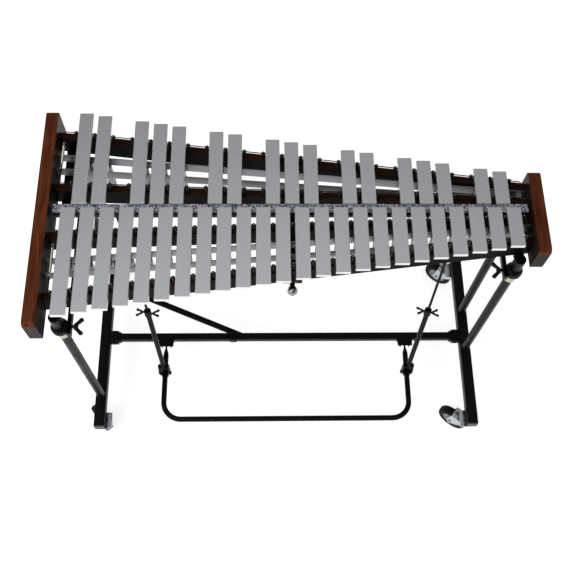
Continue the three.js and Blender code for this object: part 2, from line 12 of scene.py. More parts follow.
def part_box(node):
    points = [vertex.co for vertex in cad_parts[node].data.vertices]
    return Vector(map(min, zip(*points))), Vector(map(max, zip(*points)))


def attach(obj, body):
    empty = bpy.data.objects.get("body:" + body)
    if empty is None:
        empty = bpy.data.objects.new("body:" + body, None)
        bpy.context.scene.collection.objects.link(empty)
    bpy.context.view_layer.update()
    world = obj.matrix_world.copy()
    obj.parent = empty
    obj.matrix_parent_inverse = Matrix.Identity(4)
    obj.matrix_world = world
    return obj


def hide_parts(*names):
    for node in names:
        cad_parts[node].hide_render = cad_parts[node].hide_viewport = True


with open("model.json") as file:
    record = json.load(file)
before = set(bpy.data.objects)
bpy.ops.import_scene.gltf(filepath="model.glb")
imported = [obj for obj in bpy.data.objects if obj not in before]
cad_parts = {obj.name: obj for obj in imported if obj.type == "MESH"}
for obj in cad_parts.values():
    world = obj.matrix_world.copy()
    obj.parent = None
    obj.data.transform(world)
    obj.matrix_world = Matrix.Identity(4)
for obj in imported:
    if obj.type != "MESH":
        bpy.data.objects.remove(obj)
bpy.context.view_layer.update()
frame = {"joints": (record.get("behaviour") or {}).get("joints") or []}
joints = {joint["name"]: joint for joint in frame["joints"]}

MM = 0.001


def box_mm(node):
    low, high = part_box(node)
    return low / MM, high / MM


def pivot_mm(joint):
    return Vector(joints[joint]["pos_m"]) / MM


# ---- driving dimensions --------------------------------------------------------------
PITCH = 50.8
NATURALS = 24
ACCIDENTAL_GROUPS = (2, 3, 2, 3, 2, 3, 2)
BAR_WIDTH = 38
BAR_THICK = 12
NODE = 0.224
RAIL_WIDTH = 22
RAIL_HEIGHT = 60
CORD_RADIUS = 1.4
STRIP_HEIGHT = 33
STRIP_THICK = 2
BANK_HALF = {"natural": (20.5, 16), "accidental": (22, 11.5)}
TUBE_DEPTH = {"natural": (33, 33), "accidental": (150, 60)}
LEG_RADIUS = 13
SLEEVE_RADIUS = 16
COLLAR_RADIUS = 24
BUSH_RADIUS = 16.5
BEAM = 35
STRETCHER = 24
PEDAL_RADIUS = 9
ROD_TUBE_END = 345
FORK_HALF = 19
SIDES = (("left", -1), ("right", 1))
ENDS = ("front", "rear")
SPOTS = ("front_left", "rear_left", "front_right", "rear_right")

FIRST_X = -(NATURALS - 1) * PITCH / 2
BAR_TOP = box_mm("natural_bars_1")[1].z
BAR_UNDER = BAR_TOP - BAR_THICK
CORD_Z = BAR_TOP - BAR_THICK / 2
RAIL_BOTTOM = box_mm("natural_front_rail")[0].z
RAIL_TOP = RAIL_BOTTOM + RAIL_HEIGHT
RAIL_END = box_mm("natural_front_rail")[1].x
BANK_TOP = box_mm("natural_resonators")[1].z
SPRING_X = sum(corner.x for corner in box_mm("natural_cord_spring")) / 2
HINGE = pivot_mm("pedal_press")
PEDAL_X = sum(corner.x for corner in box_mm("pedal_bracket_right")) / 2
WHEEL_RADIUS = pivot_mm("wheel_spin_front_left").z


# ---- shapes --------------------------------------------------------------------------
class Shape:
    """Vertices and faces gathered for one piece. looks holds each face's material number."""

    def __init__(self):
        self.verts = []
        self.faces = []
        self.looks = []

    def add(self, part, matrix=None, look=0):
        verts, faces = part
        start = len(self.verts)
        self.verts += [matrix @ v if matrix else v for v in verts]
        self.faces += [[start + i for i in face] for face in faces]
        self.looks += [look] * len(faces)
        return self


def placed(origin, axis=(0, 0, 1)):
    """Moves the origin, and turns Z to the axis."""
    turn = Vector(axis).to_track_quat("Z", "Y").to_matrix().to_4x4()
    return Matrix.Translation(Vector(origin)) @ turn


def turned(origin, angle, about="Z"):
    return Matrix.Translation(Vector(origin)) @ Matrix.Rotation(angle, 4, about)


def arc(centre, radius, start, end, steps):
    """Points on an arc, angles in degrees, both ends included."""
    angles = [math.radians(start + (end - start) * i / steps) for i in range(steps + 1)]
    return [(centre[0] + radius * math.cos(a), centre[1] + radius * math.sin(a)) for a in angles]


def circle(centre, radius, steps):
    return arc(centre, radius, 0, 360, steps)[:-1]


def rounded(u, v, radius, steps=4):
    """The outline of a rectangle with round corners, from its two ranges."""
    centres = (
        (u[1] - radius, v[1] - radius), (u[0] + radius, v[1] - radius),
        (u[0] + radius, v[0] + radius), (u[1] - radius, v[0] + radius),
    )
    points = []
    for quarter, centre in enumerate(centres):
        points += arc(centre, radius, 90 * quarter, 90 * quarter + 90, steps)
    return points


AXES = {"x": (1, 2, 0), "y": (0, 2, 1), "z": (0, 1, 2)}


def extrude(outline, along, span, holes=(), drift=0.0):
    """An outline pushed along an axis. drift slants the holes by that much over the whole span."""
    u_axis, v_axis, w_axis = AXES[along]
    loops = [outline, *holes]
    verts = []
    rings = []
    for end, w in enumerate(span):
        for number, loop in enumerate(loops):
            shift = drift * (end - 0.5) if number else 0.0
            rings.append(range(len(verts), len(verts) + len(loop)))
            for u, v in loop:
                point = Vector((0, 0, 0))
                point[u_axis] = u + shift
                point[v_axis] = v
                point[w_axis] = w
                verts.append(point)
    faces = []
    for low, high in zip(rings, rings[len(loops):]):
        for i in range(len(low)):
            faces.append([low[i - 1], low[i], high[i], high[i - 1]])
    for cap in (rings[:len(loops)], rings[len(loops):]):
        if not holes:
            faces.append(list(cap[0]))
            continue
        order = [i for ring in cap for i in ring]
        triangles = tessellate_polygon([[verts[i] for i in ring] for ring in cap])
        faces += [[order[i] for i in triangle] for triangle in triangles]
    return verts, faces


def lathe(profile, steps=28, closed=False):
    """(radius, height) points turned about Z. An open profile starts and ends on the axis."""
    verts = []
    rows = []
    for radius, height in profile:
        if radius < 1e-6:
            rows.append([len(verts)] * steps)
            verts.append(Vector((0, 0, height)))
            continue
        rows.append(list(range(len(verts), len(verts) + steps)))
        verts += [Vector((x, y, height)) for x, y in circle((0, 0), radius, steps)]
    faces = []
    for low, high in list(zip(rows, rows[1:])) + ([(rows[-1], rows[0])] if closed else []):
        for i in range(steps):
            corners = [low[i - 1], low[i], high[i], high[i - 1]]
            face = [c for k, c in enumerate(corners) if c not in corners[:k]]
            if len(face) > 2:
                faces.append(face)
    return verts, faces


def rod(radius, low, high, edge=0.6, steps=28):
    """A turned rod along Z with eased edges."""
    return lathe([(0, low), (radius - edge, low), (radius, low + edge), (radius, high - edge),
                  (radius - edge, high), (0, high)], steps)


def pipe(outer, inner, low, high, edge=0.6, steps=32):
    """A turned pipe along Z, open at both ends, with eased edges."""
    return lathe([(inner, low), (outer - edge, low), (outer, low + edge), (outer, high - edge),
                  (outer - edge, high), (inner, high)], steps, closed=True)


def block(x, y, z):
    return extrude([(x[0], y[0]), (x[1], y[0]), (x[1], y[1]), (x[0], y[1])], "z", z)


def bolt(radius, height):
    """A hexagon head on a washer, standing on Z = 0."""
    washer = rod(radius * 1.3, 0, 0.25 * height, 0.15, 24)
    head = extrude(circle((0, 0), radius, 6), "z", (0.2 * height, height))
    return Shape().add(washer).add(head)


def add_bolt(shape, origin, axis, radius=4.5, height=4.0, look=0):
    made = bolt(radius, height)
    shape.add((made.verts, made.faces), placed(origin, axis), look)


def sweep(path, section, sides=12):
    """A solid tube along points. section(i) is its half width and half height at point i."""
    verts = []
    side = None
    for i, point in enumerate(path):
        ahead = (path[min(i + 1, len(path) - 1)] - path[max(i - 1, 0)]).normalized()
        if side is None:
            side = ahead.cross(Vector((0, 0, 1) if abs(ahead.z) < 0.9 else (0, 1, 0)))
        side = (side - ahead * side.dot(ahead)).normalized()
        top = side.cross(ahead)
        across, tall = section(i)
        verts += [point + side * u + top * v for u, v in
                  [(across * a, tall * b) for a, b in circle((0, 0), 1, sides)]]
    faces = []
    for row in range(len(path) - 1):
        low = row * sides
        for a in range(sides):
            b = (a + 1) % sides
            faces.append([low + a, low + b, low + sides + b, low + sides + a])
    last = (len(path) - 1) * sides
    faces += [list(range(sides)), [last + a for a in range(sides)]]
    return verts, faces


def wire(path, radius, sides=8):
    return sweep([Vector(p) for p in path], lambda i: (radius, radius), sides)


def rounded_path(corners, radius, steps=6):
    """Straight runs whose inner corners are turned with a radius."""
    corners = [Vector(c) for c in corners]
    points = [corners[0]]
    for before, here, after in zip(corners, corners[1:], corners[2:]):
        back = (before - here).normalized()
        on = (after - here).normalized()
        cut = radius / math.tan(back.angle(on) / 2)
        centre = here + (back + on).normalized() * math.hypot(cut, radius)
        spokes = (here + back * cut - centre, here + on * cut - centre)
        swing = spokes[0].angle(spokes[1])
        for k in range(steps + 1):
            first = math.sin((1 - k / steps) * swing) / math.sin(swing)
            second = math.sin(k / steps * swing) / math.sin(swing)
            points.append(centre + spokes[0] * first + spokes[1] * second)
    return points + [corners[-1]]


def bulb_lobe(start, end, thin, thick, sides=14):
    """A finger that swells from thin to thick and ends round."""
    start, end = Vector(start), Vector(end)
    shares = [0, 0.15, 0.35, 0.6, 0.8, 0.9, 0.96, 1.0]
    sizes = [1.3 * thin, thin, thin, 0.5 * (thin + thick), thick, 0.86 * thick, 0.55 * thick,
             0.12 * thick]
    path = [start.lerp(end, share) for share in shares]
    return sweep(path, lambda i: (sizes[i], sizes[i]), sides)


def piece(name, shape, looks, body, stands_for=(), bevel=0.0, smooth=34):
    """Makes one object: faces out, sharp edges eased by a bevel, and riding on its body."""
    mesh = bpy.data.meshes.new(name)
    mesh.from_pydata([v * MM for v in shape.verts], [], shape.faces)
    for look in looks:
        mesh.materials.append(look)
    mesh.polygons.foreach_set("material_index", shape.looks)
    work = bmesh.new()
    work.from_mesh(mesh)
    bmesh.ops.recalc_face_normals(work, faces=work.faces)
    work.to_mesh(mesh)
    work.free()
    mesh.shade_smooth()
    mesh.set_sharp_from_angle(angle=math.radians(smooth))
    made = bpy.data.objects.new(name, mesh)
    bpy.context.scene.collection.objects.link(made)
    if bevel:
        eased = made.modifiers.new("eased_edges", "BEVEL")
        eased.width = bevel * MM
        eased.segments = 2
        eased.limit_method = "ANGLE"
        eased.angle_limit = math.radians(40)
        eased.harden_normals = True
    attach(made, body)
    if stands_for:
        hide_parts(*stands_for)
    return made


# ---- materials -----------------------------------------------------------------------
class Look:
    """A Principled material whose patterns are laid out in the piece's own metres."""

    def __init__(self, name, **sockets):
        self.material = bpy.data.materials.new(name)
        self.material.use_nodes = True
        self.nodes = self.material.node_tree.nodes
        self.links = self.material.node_tree.links
        self.shader = self.nodes["Principled BSDF"]
        for socket, value in sockets.items():
            self.shader.inputs[socket.replace("_", " ")].default_value = value
        self.coords = self.nodes.new("ShaderNodeTexCoord").outputs["Object"]

    def grain(self, scale, stretch=(1, 1, 1), detail=4.0, warp=0.0):
        layout = self.nodes.new("ShaderNodeMapping")
        layout.inputs["Scale"].default_value = stretch
        self.links.new(self.coords, layout.inputs["Vector"])
        pattern = self.nodes.new("ShaderNodeTexNoise")
        pattern.inputs["Scale"].default_value = scale
        pattern.inputs["Detail"].default_value = detail
        pattern.inputs["Distortion"].default_value = warp
        self.links.new(layout.outputs["Vector"], pattern.inputs["Vector"])
        return pattern.outputs["Fac"]

    def cells(self, scale):
        pattern = self.nodes.new("ShaderNodeTexVoronoi")
        pattern.inputs["Scale"].default_value = scale
        self.links.new(self.coords, pattern.inputs["Vector"])
        return pattern.outputs["Distance"]

    def colour(self, pattern, *stops):
        ramp = self.nodes.new("ShaderNodeValToRGB")
        elements = ramp.color_ramp.elements
        while len(elements) < len(stops):
            elements.new(0.5)
        for element, (position, rgb) in zip(elements, stops):
            element.position = position
            element.color = (*rgb, 1)
        self.links.new(pattern, ramp.inputs["Fac"])
        self.links.new(ramp.outputs["Color"], self.shader.inputs["Base Color"])
        return self

    def gloss(self, pattern, low, high):
        spread = self.nodes.new("ShaderNodeMapRange")
        spread.inputs["From Min"].default_value = 0.3
        spread.inputs["From Max"].default_value = 0.7
        spread.inputs["To Min"].default_value = low
        spread.inputs["To Max"].default_value = high
        self.links.new(pattern, spread.inputs["Value"])
        self.links.new(spread.outputs["Result"], self.shader.inputs["Roughness"])
        return self

    def relief(self, pattern, height_mm, strength):
        bump = self.nodes.new("ShaderNodeBump")
        bump.inputs["Distance"].default_value = height_mm * MM
        bump.inputs["Strength"].default_value = strength
        self.links.new(pattern, bump.inputs["Height"])
        self.links.new(bump.outputs["Normal"], self.shader.inputs["Normal"])
        return self


def bar_metal():
    look = Look("bar_metal", Metallic=1.0)
    brushed = look.grain(9.0, (90, 3, 90), 5)
    look.colour(brushed, (0.3, (0.77, 0.78, 0.795)), (0.7, (0.83, 0.84, 0.855)))
    look.gloss(brushed, 0.28, 0.36)
    return look.relief(brushed, 0.03, 0.25).material


def wood(name, stretch, dark, light):
    look = Look(name, Specular_IOR_Level=0.06)
    figure = look.grain(6.0, stretch, 8, 1.2)
    pores = look.grain(42.0, stretch, 3)
    middle = tuple((a + b) / 2 for a, b in zip(dark, light))
    look.colour(figure, (0.32, dark), (0.5, middle), (0.68, light))
    look.gloss(pores, 0.3, 0.45)
    return look.relief(pores, 0.15, 0.3).material


def black_paint(name="black_paint", shade=0.0022, specular=0.12):
    look = Look(name, Specular_IOR_Level=specular)
    orange_peel = look.grain(900, (1, 1, 1), 2)
    patches = look.grain(30, (1, 1, 1), 4)
    look.colour(patches, (0.35, (shade, shade, shade * 1.1)),
                (0.7, (shade * 1.9, shade * 1.9, shade * 2.1)))
    look.gloss(patches, 0.34, 0.48)
    return look.relief(orange_peel, 0.06, 0.35).material


def moulded_black():
    look = Look("moulded_black", Specular_IOR_Level=0.3)
    texture = look.grain(1400, (1, 1, 1), 3)
    look.colour(texture, (0.3, (0.002, 0.002, 0.0025)), (0.7, (0.006, 0.006, 0.007)))
    look.gloss(texture, 0.38, 0.55)
    return look.relief(texture, 0.08, 0.5).material


def felt():
    look = Look("felt", Sheen_Weight=0.4, Sheen_Roughness=0.6, Specular_IOR_Level=0.1)
    speckle = look.grain(260, (1, 1, 1), 5)
    fibres = look.grain(1500, (1, 1, 1), 4, 2.0)
    look.colour(speckle, (0.4, (0.02, 0.022, 0.04)), (0.49, (0.2, 0.21, 0.29)),
                (0.57, (0.8, 0.82, 0.9)))
    look.gloss(fibres, 0.9, 1.0)
    return look.relief(fibres, 0.9, 0.8).material


def resonator_metal():
    look = Look("resonator_metal", Metallic=0.85)
    drawn = look.grain(14, (2, 2, 40), 4)
    look.colour(drawn, (0.3, (0.24, 0.245, 0.26)), (0.7, (0.34, 0.345, 0.36)))
    look.gloss(drawn, 0.34, 0.52)
    return look.relief(drawn, 0.05, 0.25).material


def bright_steel(name, low, high, gloss_range):
    look = Look(name, Metallic=1.0)
    spangle = look.cells(160)
    wear = look.grain(70, (1, 1, 1), 5)
    look.colour(wear, (0.3, low), (0.7, high))
    look.gloss(wear, *gloss_range)
    return look.relief(spangle, 0.04, 0.25).material


def plastic(name, dark, light, gloss_range):
    look = Look(name, Specular_IOR_Level=0.4, Subsurface_Weight=0.05)
    clouds = look.grain(60, (1, 1, 1), 4)
    look.colour(clouds, (0.3, dark), (0.7, light))
    look.gloss(clouds, *gloss_range)
    return look.relief(look.grain(1100, (1, 1, 1), 2), 0.05, 0.3).material


def tyre_rubber():
    look = Look("tyre_rubber", Specular_IOR_Level=0.12)
    dust = look.grain(90, (1, 1, 1), 6)
    look.colour(dust, (0.35, (0.003, 0.003, 0.0035)), (0.7, (0.011, 0.011, 0.0105)))
    look.gloss(dust, 0.55, 0.8)
    return look.relief(dust, 0.15, 0.4).material


def braided_cord():
    look = Look("braided_cord", Specular_IOR_Level=0.1)
    braid = look.cells(1300)
    look.colour(braid, (0.1, (0.045, 0.016, 0.013)), (0.6, (0.012, 0.005, 0.005)))
    look.gloss(braid, 0.7, 0.9)
    return look.relief(braid, 0.3, 0.8).material


BAR = bar_metal()
PANEL_WOOD = wood("panel_wood", (14, 1.2, 14), (0.072, 0.017, 0.005), (0.18, 0.048, 0.018))
# Much darker wood colour, used on the end panels' side and front faces.
PANEL_DARK_FACES = wood("panel_dark_faces", (14, 1.2, 14), (0.011, 0.009, 0.009), (0.028, 0.017, 0.014))
# Rail wood darkened far below the panel wood: painted shade for rail tops that lie in the shade under and between the
# bars.
RAIL_WOOD_SHADED = wood("rail_wood_shaded", (1.2, 14, 14), (0.012, 0.0035, 0.0012), (0.042, 0.0135, 0.0045))
BLACK = black_paint()
# Near-black rail sides and bottom: painted shade for the faces that fall in shadow under the bars.
RAIL_SIDE_SHADE = black_paint("rail_side_shade", 0.002, 0.02)
MOULDED = moulded_black()
FELT = felt()
RESONATOR = resonator_metal()
SPRING = bright_steel("spring_steel", (0.62, 0.58, 0.47), (0.8, 0.77, 0.66), (0.25, 0.4))
ZINC = bright_steel("zinc", (0.36, 0.38, 0.4), (0.6, 0.62, 0.65), (0.16, 0.34))
CHROME = bright_steel("chrome", (0.3, 0.3, 0.32), (0.4, 0.4, 0.42), (0.06, 0.14))
LEVER = bright_steel("lever_steel", (0.13, 0.15, 0.17), (0.24, 0.27, 0.3), (0.3, 0.45))
NYLON = plastic("nylon", (0.55, 0.52, 0.36), (0.68, 0.66, 0.48), (0.35, 0.5))
RED = plastic("red_plastic", (0.33, 0.012, 0.01), (0.45, 0.02, 0.016), (0.3, 0.45))
HUB = plastic("hub_plastic", (0.22, 0.24, 0.26), (0.33, 0.35, 0.38), (0.3, 0.45))
RUBBER = tyre_rubber()
CORD = braided_cord()


# ---- keyboard layout -----------------------------------------------------------------
def place_x(place):
    return FIRST_X + place * PITCH


def x_place(x):
    return (x - FIRST_X) / PITCH


def grouped_places(counts):
    groups = []
    place = 0.5
    for count in counts:
        groups.append([place + i for i in range(count)])
        place += count + 1
    return groups


class Row:
    """A row of bars: one end of every bar is on a straight line, the other runs in towards it."""

    def __init__(self, name, groups):
        self.name = name
        self.groups = groups
        self.places = [place for group in groups for place in group]
        self.natural = name == "natural"
        low, high = box_mm(f"{name}_bars_1")
        last_low, last_high = box_mm(f"{name}_bars_4")
        last_first = 21 if self.natural else groups[-1][0]
        self.anchor = high.y if self.natural else low.y
        self.sign = -1 if self.natural else 1
        self.longest = high.y - low.y
        self.fall = (last_high.y - last_low.y - self.longest) / (last_first - self.places[0])

    def length(self, place):
        return self.longest + self.fall * (place - self.places[0])

    def line(self, share, x):
        """Y at x of the line that lies that share of the way from the straight ends."""
        return self.anchor + self.sign * share * self.length(x_place(x))

    def slope(self, share):
        return self.sign * share * self.fall / PITCH

    def node_share(self, end):
        return NODE if (end == "rear") == self.natural else 1 - NODE

    def post_xs(self):
        if self.natural:
            return [place_x(i - 0.5) for i in range(NATURALS + 1)]
        return [place_x(group[0] - 0.5 + i) for group in self.groups for i in range(len(group) + 1)]


ROWS = (
    Row("natural", [[float(i)] for i in range(NATURALS)]),
    Row("accidental", grouped_places(ACCIDENTAL_GROUPS)),
)


# ---- bars ----------------------------------------------------------------------------
ARCH_HEIGHT = 5
ARCH_SPAN = (0.32, 0.68)
CORD_HOLE = 2.7


def bar_shape(row, place):
    x = place_x(place)
    length = row.length(place)
    front, rear = sorted((row.anchor, row.anchor + row.sign * length))
    arch = []
    for i in range(15):
        share = i / 14
        y = front + length * (ARCH_SPAN[0] + (ARCH_SPAN[1] - ARCH_SPAN[0]) * share)
        arch.append((y, BAR_UNDER + ARCH_HEIGHT * math.sin(math.pi * share)))
    outline = [(front, BAR_UNDER), *arch, (rear, BAR_UNDER), (rear, BAR_TOP), (front, BAR_TOP)]
    holes = [circle((row.line(row.node_share(end), x), CORD_Z), CORD_HOLE, 12) for end in ENDS]
    drift = row.slope(0.5) * BAR_WIDTH
    span = (x - BAR_WIDTH / 2, x + BAR_WIDTH / 2)
    return Shape().add(extrude(outline, "x", span, holes, drift))


def build_bars(row):
    sizes = (7, 7, 7, 3) if row.natural else (5, 5, 5, 2)
    firsts = [sum(sizes[:i]) for i in range(len(sizes))]
    for number, place in enumerate(row.places):
        stands_for = ()
        if number in firsts:
            stands_for = (f"{row.name}_bars_{firsts.index(number) + 1}",)
        piece(f"{row.name}_bar_{number + 1:02d}", bar_shape(row, place), [BAR], "keyboard",
        stands_for, bevel=1.8)


# ---- suspension: cords, springs, posts -----------------------------------------------
COIL_RADIUS = 3.1
COIL_WIRE = 0.7
HOOK = 11


def cord_corners(row):
    low, high = box_mm(f"{row.name}_cord_spring")
    front, rear = (row.node_share(end) for end in ENDS)
    ends = (-SPRING_X, SPRING_X)
    return [
        (SPRING_X, low.y - 2, CORD_Z),
        (SPRING_X, row.line(front, SPRING_X), CORD_Z),
        (ends[0], row.line(front, ends[0]), CORD_Z),
        (ends[0], row.line(rear, ends[0]), CORD_Z),
        (SPRING_X, row.line(rear, SPRING_X), CORD_Z),
        (SPRING_X, high.y + 2, CORD_Z),
    ]


def build_cord(row):
    corners = cord_corners(row)
    path = rounded_path(corners, 5)
    shape = Shape().add(wire(path, CORD_RADIUS, 10))
    for tip, inward in ((corners[0], -1), (corners[-1], 1)):
        knot = lathe([(0, -4), (2.2, -3.2), (2.7, -1), (2.1, 0.5), (2.6, 2), (1.8, 4), (0, 4.6)], 16)
        shape.add(knot, placed(Vector(tip) + Vector((0, 6 * inward, 0)), (0, 1, 0)))
    piece(f"{row.name}_cord", shape, [CORD], "keyboard")


def build_spring(row):
    node = f"{row.name}_cord_spring"
    low, high = box_mm(node)
    start = low.y + HOOK
    end = high.y - HOOK
    turns = int((end - start) / (2.1 * COIL_WIRE))
    steps = 14
    coil = []
    for i in range(turns * steps + 1):
        angle = 2 * math.pi * i / steps
        y = start + (end - start) * i / (turns * steps)
        coil.append((SPRING_X + COIL_RADIUS * math.cos(angle), y,
                     CORD_Z + COIL_RADIUS * math.sin(angle)))
    shape = Shape().add(wire(coil, COIL_WIRE, 6))
    for tip, inner, way in ((low.y, start, 1), (high.y, end, -1)):
        loop = [(SPRING_X + u, tip + way * (COIL_RADIUS + v), CORD_Z)
                for u, v in arc((0, 0), COIL_RADIUS, 60, -240, 18)]
        shape.add(wire([*loop, (SPRING_X, inner, CORD_Z)], COIL_WIRE, 6))
    piece(node, shape, [SPRING], "keyboard", (node,))


def post_shape(shape, x, y):
    """A moulded post: foot, neck and round head for the cord, with a bright pin in its top."""
    head = 5.7
    profile = [(0, RAIL_TOP - 0.5), (5.8, RAIL_TOP - 0.5), (5.8, RAIL_TOP + 1.5), (4.2, RAIL_TOP + 3)]
    profile += arc((0, CORD_Z), head, -48, 62, 9)
    profile += [(1.7, CORD_Z + head - 0.6), (0, CORD_Z + head - 0.6)]
    shape.add(lathe(profile, 18), placed((x, y, 0)))
    shape.add(rod(1.4, CORD_Z + 3, CORD_Z + head, 0.4, 12), placed((x, y, 0)), look=1)


def build_rail(row, end):
    name = f"{row.name}_{end}_rail"
    share = row.node_share(end)
    half = RAIL_WIDTH / 2
    ys = [row.line(share, x) for x in (-RAIL_END, RAIL_END)]
    outline = [(-RAIL_END, ys[0] - half), (RAIL_END, ys[1] - half),
               (RAIL_END, ys[1] + half), (-RAIL_END, ys[0] + half)]
    # The body's sides and bottom carry the near-black painted shade; the thin top layer carries the darkened rail
    # wood, also painted shade.
    body = extrude(outline, "z", (RAIL_BOTTOM, RAIL_TOP - 1.5))
    top = extrude(outline, "z", (RAIL_TOP - 1.5, RAIL_TOP))
    plank = Shape().add(body, look=1).add(top)
    piece(name, plank, [RAIL_WOOD_SHADED, RAIL_SIDE_SHADE], "keyboard", (name,), bevel=0.5)
    posts = Shape()
    for x in row.post_xs():
        post_shape(posts, x, row.line(share, x))
    piece(f"{row.name}_{end}_posts", posts, [MOULDED, SPRING], "keyboard", bevel=0.5)


def build_panel(side):
    """A thick board, varnished on top and on its eased corners, with much darker wood colour on its faces."""
    name = f"end_panel_{side}"
    low, high = box_mm(name)
    outline = [
        *arc((low.y + 3, low.z + 3), 3, 180, 270, 4),
        *arc((high.y - 3, low.z + 3), 3, 270, 360, 4),
        *arc((high.y - 9, high.z - 9), 9, 0, 90, 8),
        *arc((low.y + 15, high.z - 15), 15, 90, 180, 10),
    ]
    shape = Shape()
    edge = 0.4
    shape.add(extrude(outline, "x", (low.x + edge, high.x - edge)))
    for x in ((low.x, low.x + edge + 0.2), (high.x - edge - 0.2, high.x)):
        inset = [(y + (0.6 if y < low.y + 20 else -0.6 if y > high.y - 12 else 0), z - 0.5) for y, z in outline]
        shape.add(extrude(inset, "x", x), look=1)
    face = rounded((low.x + 1.5, high.x - 1.5), (low.z + 4, high.z - 16), 1.0, 2)
    shape.add(extrude(face, "y", (low.y - 0.01, low.y + 0.6)), look=1)
    piece(name, shape, [PANEL_WOOD, PANEL_DARK_FACES], "keyboard", (name,), bevel=0.9)


# ---- resonators ----------------------------------------------------------------------
def blend_at(pair, first, last, place):
    return pair[0] + (pair[1] - pair[0]) * (place - first) / (last - first)


def build_resonators(row):
    name = f"{row.name}_resonators"
    shape = Shape()
    half_at = lambda x: blend_at(BANK_HALF[row.name], -1, NATURALS, x_place(x))
    for sign in (-1, 1):
        edges = []
        for x in (-RAIL_END, RAIL_END):
            middle = row.line(0.5, x) + sign * half_at(x)
            edges.append((x, middle - STRIP_THICK / 2, middle + STRIP_THICK / 2))
        (x0, a0, b0), (x1, a1, b1) = edges
        outline = [(x0, a0), (x1, a1), (x1, b1), (x0, b0)]
        shape.add(extrude(outline, "z", (BANK_TOP - STRIP_HEIGHT, BANK_TOP)))
        for place in row.places:
            x = place_x(place)
            face = row.line(0.5, x) + sign * (half_at(x) + STRIP_THICK / 2)
            rivet = lathe([(0, -1), (2.4, -1), (2.4, 0.3), (1.6, 1.1), (0, 1.4)], 14)
            shape.add(rivet, placed((x, face, BANK_TOP - STRIP_HEIGHT / 2), (0, sign, 0)))
    for place in row.places:
        x = place_x(place)
        radius = half_at(x) - 1.1
        bottom = BANK_TOP - blend_at(TUBE_DEPTH[row.name], row.places[0], row.places[-1], place)
        tube = lathe([(0, bottom), (radius - 2, bottom), (radius, bottom + 2), (radius, BANK_TOP - 1.4),
                      (radius - 0.4, BANK_TOP - 1), (radius - 1.4, BANK_TOP - 1),
                      (radius - 1.4, bottom + 3), (0, bottom + 2)], 30)
        shape.add(tube, placed((x, row.line(0.5, x), 0)))
    piece(name, shape, [RESONATOR], "keyboard", (name,), bevel=0.25)


# ---- damper --------------------------------------------------------------------------
def build_damper():
    low, high = box_mm("damper_bar")
    bottom = pivot_mm("rod_swing_left").z + 13
    inner = rounded((low.y + 3, high.y - 3), (bottom + 4, high.z - 3), 1, 2)
    outer = rounded((low.y, high.y), (bottom, high.z), 2, 3)
    shape = Shape().add(extrude(outer, "x", (low.x, high.x), [inner]))
    for side, _ in SIDES:
        pivot = pivot_mm(f"rod_swing_{side}")
        lug = [(pivot.y - 8, bottom + 1), *arc((pivot.y, pivot.z), 8, 180, 360, 12), (pivot.y + 8, bottom + 1)]
        shape.add(extrude(lug, "x", (pivot.x - 3, pivot.x + 3)))
        shape.add(rod(4, -9, 9), placed(pivot, (1, 0, 0)))
        for sign in (-1, 1):
            add_bolt(shape, pivot + Vector((8.2 * sign, 0, 0)), (sign, 0, 0), 5, 3.5)
    piece("damper_bar", shape, [BLACK], "damper", ("damper_bar",), bevel=0.4)


def build_felt():
    low, high = box_mm("damper_felt")
    fuzz = 0.35
    outline = rounded((low.y + fuzz, high.y - fuzz), (low.z, high.z - fuzz), 2.2, 4)
    middle = ((low.y + high.y) / 2, (low.z + high.z) / 2)
    step = 3.0
    count = int((high.x - low.x) / step)
    verts = []
    for i in range(count + 1):
        x = low.x + (high.x - low.x) * i / count
        for y, z in outline:
            lump = fuzz * noise.noise(Vector((x / 6, y / 4, z / 4)))
            out = Vector((0, y - middle[0], z - middle[1])).normalized()
            verts.append(Vector((x, y, z)) + out * lump)
    sides = len(outline)
    faces = []
    for i in range(count):
        for a in range(sides):
            b = (a + 1) % sides
            faces.append([i * sides + a, i * sides + b, (i + 1) * sides + b, (i + 1) * sides + a])
    faces += [list(range(sides)), [count * sides + a for a in range(sides)]]
    made = piece("damper_felt", Shape().add((verts, faces)), [FELT], "damper",
                 ("damper_felt",), smooth=60)


# ---- centre support and knob ---------------------------------------------------------
def build_centre():
    low, high = box_mm("centre_support")
    shape = Shape()
    tube = rounded((-12.5, 12.5), (high.z - 26, high.z), 2.5)
    inner = rounded((-10.5, 10.5), (high.z - 24, high.z - 2), 1.5)
    shape.add(extrude(tube, "y", (low.y + 5.5, high.y), [inner]))
    shape.add(extrude(rounded((low.x, high.x), (low.z, high.z - 1), 3), "y", (low.y, low.y + 6)))
    for sign in (-1, 1):
        add_bolt(shape, (20 * sign, low.y, (low.z + high.z) / 2), (0, -1, 0), 3.6, 2.5)
    piece("centre_support", shape, [BLACK], "keyboard", ("centre_support",), bevel=0.5)
    washer_low, washer_high = box_mm("knob_washer")
    pivot = pivot_mm("knob_turn")
    toward = placed((pivot.x, washer_high.y, pivot.z), (0, -1, 0))
    thick = washer_high.y - washer_low.y
    washer = lathe([(3, 0), (8.2, 0), (9, 0.8), (9, thick - 0.8), (8, thick), (3, thick)], 32, True)
    piece("knob_washer", Shape().add(washer, toward), [RED], "keyboard", ("knob_washer",))
    knob_low, knob_high = box_mm("adjusting_knob")
    reach = knob_high.y - knob_low.y
    knob = Shape()
    stem = lathe([(0, 0), (6.4, 0), (7, 0.6), (7, 4), (6, 5), (7, 6), (7, 10), (5.5, 12), (0, 12)])
    ball = [(max(u, 0), v) for u, v in arc((0, reach - 14), 14, -90, 90, 20)]
    mount = placed((pivot.x, knob_high.y, pivot.z), (0, -1, 0))
    knob.add(stem, mount, look=1).add(lathe(ball, 32), mount)
    piece("adjusting_knob", knob, [CHROME, BLACK], "knob", ("adjusting_knob",), smooth=50)


